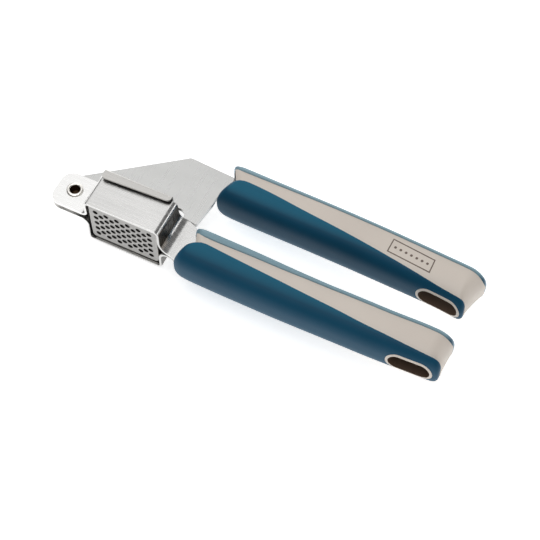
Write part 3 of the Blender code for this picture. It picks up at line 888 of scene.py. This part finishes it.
# %% [markdown]
# ## Which piece wears what
# A few pieces get a second material on some faces, a near black steel or a dark brown, as
# painted shade: the end wall, the inside of the basket and under its rims, the rivet's bore
# and the hang holes. Their faces are found by place and get a second material, as you would
# assign one by hand.

# %% Dress every piece


def dress(piece, finish):
    if piece.data.materials:
        for k in range(len(piece.data.materials)):
            piece.data.materials[k] = finish
    else:
        piece.data.materials.append(finish)


for piece in (top_cheek, bottom_cheek):
    dress(piece, cheek_steel)
    # The end wall's faces, facing +x, wear the near black steel as painted shade.
    piece.data.materials.append(wall_painted_shade)
    for facet in piece.data.polygons:
        x, y, z = (facet.center - hinge) / MM
        end_wall = facet.normal.x > 0.9 and 48 < x < 50 and abs(z) < 12.5
        facet.material_index = 1 if end_wall else 0
dress(basket, cup_steel)
# Faces deep in the cup and under its rims wear the near black steel as painted shade.
basket.data.materials.append(cup_painted_shade)
basket.data.materials.append(sieve_steel)
for facet in basket.data.polygons:
    x, y, z = (facet.center - hinge) / MM
    deep = (CUP_X[0] + 0.5 < x < CUP_X[1] - 0.5 and CUP_Y[0] + 0.15 < y < CUP_Y[1] - 0.2
            and abs(z) < CUP_HALF - 0.5)
    under = abs(z) > CUP_HALF + 0.05 and y < CUP_Y[1] - 0.7 and abs(z) < 15.8
    face = y < CUP_Y[0] + 0.1
    facet.material_index = 1 if deep or under else 2 if face else 0
dress(plate, plate_steel)
for piece in (ram, clevis):
    dress(piece, ram_steel)
for piece in (eyelet, pin):
    dress(piece, rivet_steel)
# The bore's wall and floor wear the dark brown as painted shade.
eyelet.data.materials.append(bore_painted_shade)
for facet in eyelet.data.polygons:
    x, y, z = (facet.center - hinge) / MM
    facet.material_index = 1 if math.hypot(x, y) < 2.42 and -1.1 < z < SEAT + 0.3 else 0
for (pad, shell, core, collar), h in ((lower_pieces, LOWER), (upper_pieces, UPPER)):
    dress(pad, blue)
    dress(shell, shell_blue)
    dress(core, beige)
    dress(collar, beige)
    # The hang hole's inner wall wears the dark brown as painted shade.
    collar.data.materials.append(hole_painted_shade)
    for facet in collar.data.polygons:
        x, y, z = (facet.center - hinge) / MM
        beside = max(0.0, abs(x - h["hole"]) - HOLE_HALF[0] + HOLE_HALF[1])
        wall = math.hypot(beside, z) < HOLE_HALF[1] + 0.08 and abs(facet.normal.y) < 0.3
        facet.material_index = 1 if wall else 0
dress(mark, ink)
for node in nodes:
    if "dowel" in node:
        dress(nodes[node], rivet_steel)

# %% [markdown]
# ## The table, the light and the camera
# The press lies on a plain white table under wide soft light, as in a catalogue.

# %% Floor
let_go()
JUST_UNDER = -0.0002
bpy.ops.mesh.primitive_grid_add(x_subdivisions=8, y_subdivisions=8, size=6,
                                location=(0, 0, JUST_UNDER))
floor = named("floor")
made, tree, shader = finish_of("white_table", (0.93, 0.93, 0.93), 0.0, 0.7)
paper = stretched_noise(tree, (300, 300, 300), 2.0)
tree.links.new(blend_colour(tree, paper, (0.93, 0.93, 0.93), (0.95, 0.95, 0.95)),
               shader.inputs["Base Color"])
shader.inputs["Emission Color"].default_value = (1, 1, 1, 1)
shader.inputs["Emission Strength"].default_value = 0.6
dress(floor, made)

# %% Lights


def panel(name, place, size, power, target=(0, 0, 0.01)):
    let_go()
    bpy.ops.object.light_add(type="AREA", location=place)
    light = bpy.context.object
    light.name = name
    light.data.shape = "RECTANGLE"
    light.data.size, light.data.size_y = size
    light.data.energy = power
    light.rotation_euler = (Vector(target) - Vector(place)).to_track_quat("-Z", "Y").to_euler()
    return light


panel("left_back_panel", (-0.62, 0.52, 0.95), (1.2, 1.2), 3.9)
panel("overhead_panel", (-0.1, -0.25, 1.5), (1.4, 1.4), 11.0)
panel("back_low_panel", (-0.1, 1.15, 0.30), (2.0, 0.6), 4.5)
panel("right_low_panel", (1.0, 0.50, 0.26), (0.45, 0.3), 0.8)

world = bpy.data.worlds.new("studio")
bpy.context.scene.world = world
world.use_nodes = True
world.node_tree.nodes["Background"].inputs["Color"].default_value = (1, 1, 1, 1)
world.node_tree.nodes["Background"].inputs["Strength"].default_value = 0.18

# %% Camera
CAMERA_PLACE = at(240.25, -291.92, 543.02)
AZIMUTH, ELEVATION = math.radians(25.986), math.radians(58.949)
back = Vector((math.sin(AZIMUTH) * math.cos(ELEVATION), -math.cos(AZIMUTH) * math.cos(ELEVATION),
               math.sin(ELEVATION)))
camera = bpy.data.objects.new("camera", bpy.data.cameras.new("camera"))
bpy.context.scene.collection.objects.link(camera)
camera.location = CAMERA_PLACE
camera.rotation_euler = (-back).to_track_quat("-Z", "Y").to_euler()
camera.data.lens, camera.data.sensor_width = 96.33, 36.0
bpy.context.scene.camera = camera
bpy.context.scene.view_settings.view_transform = "Standard"
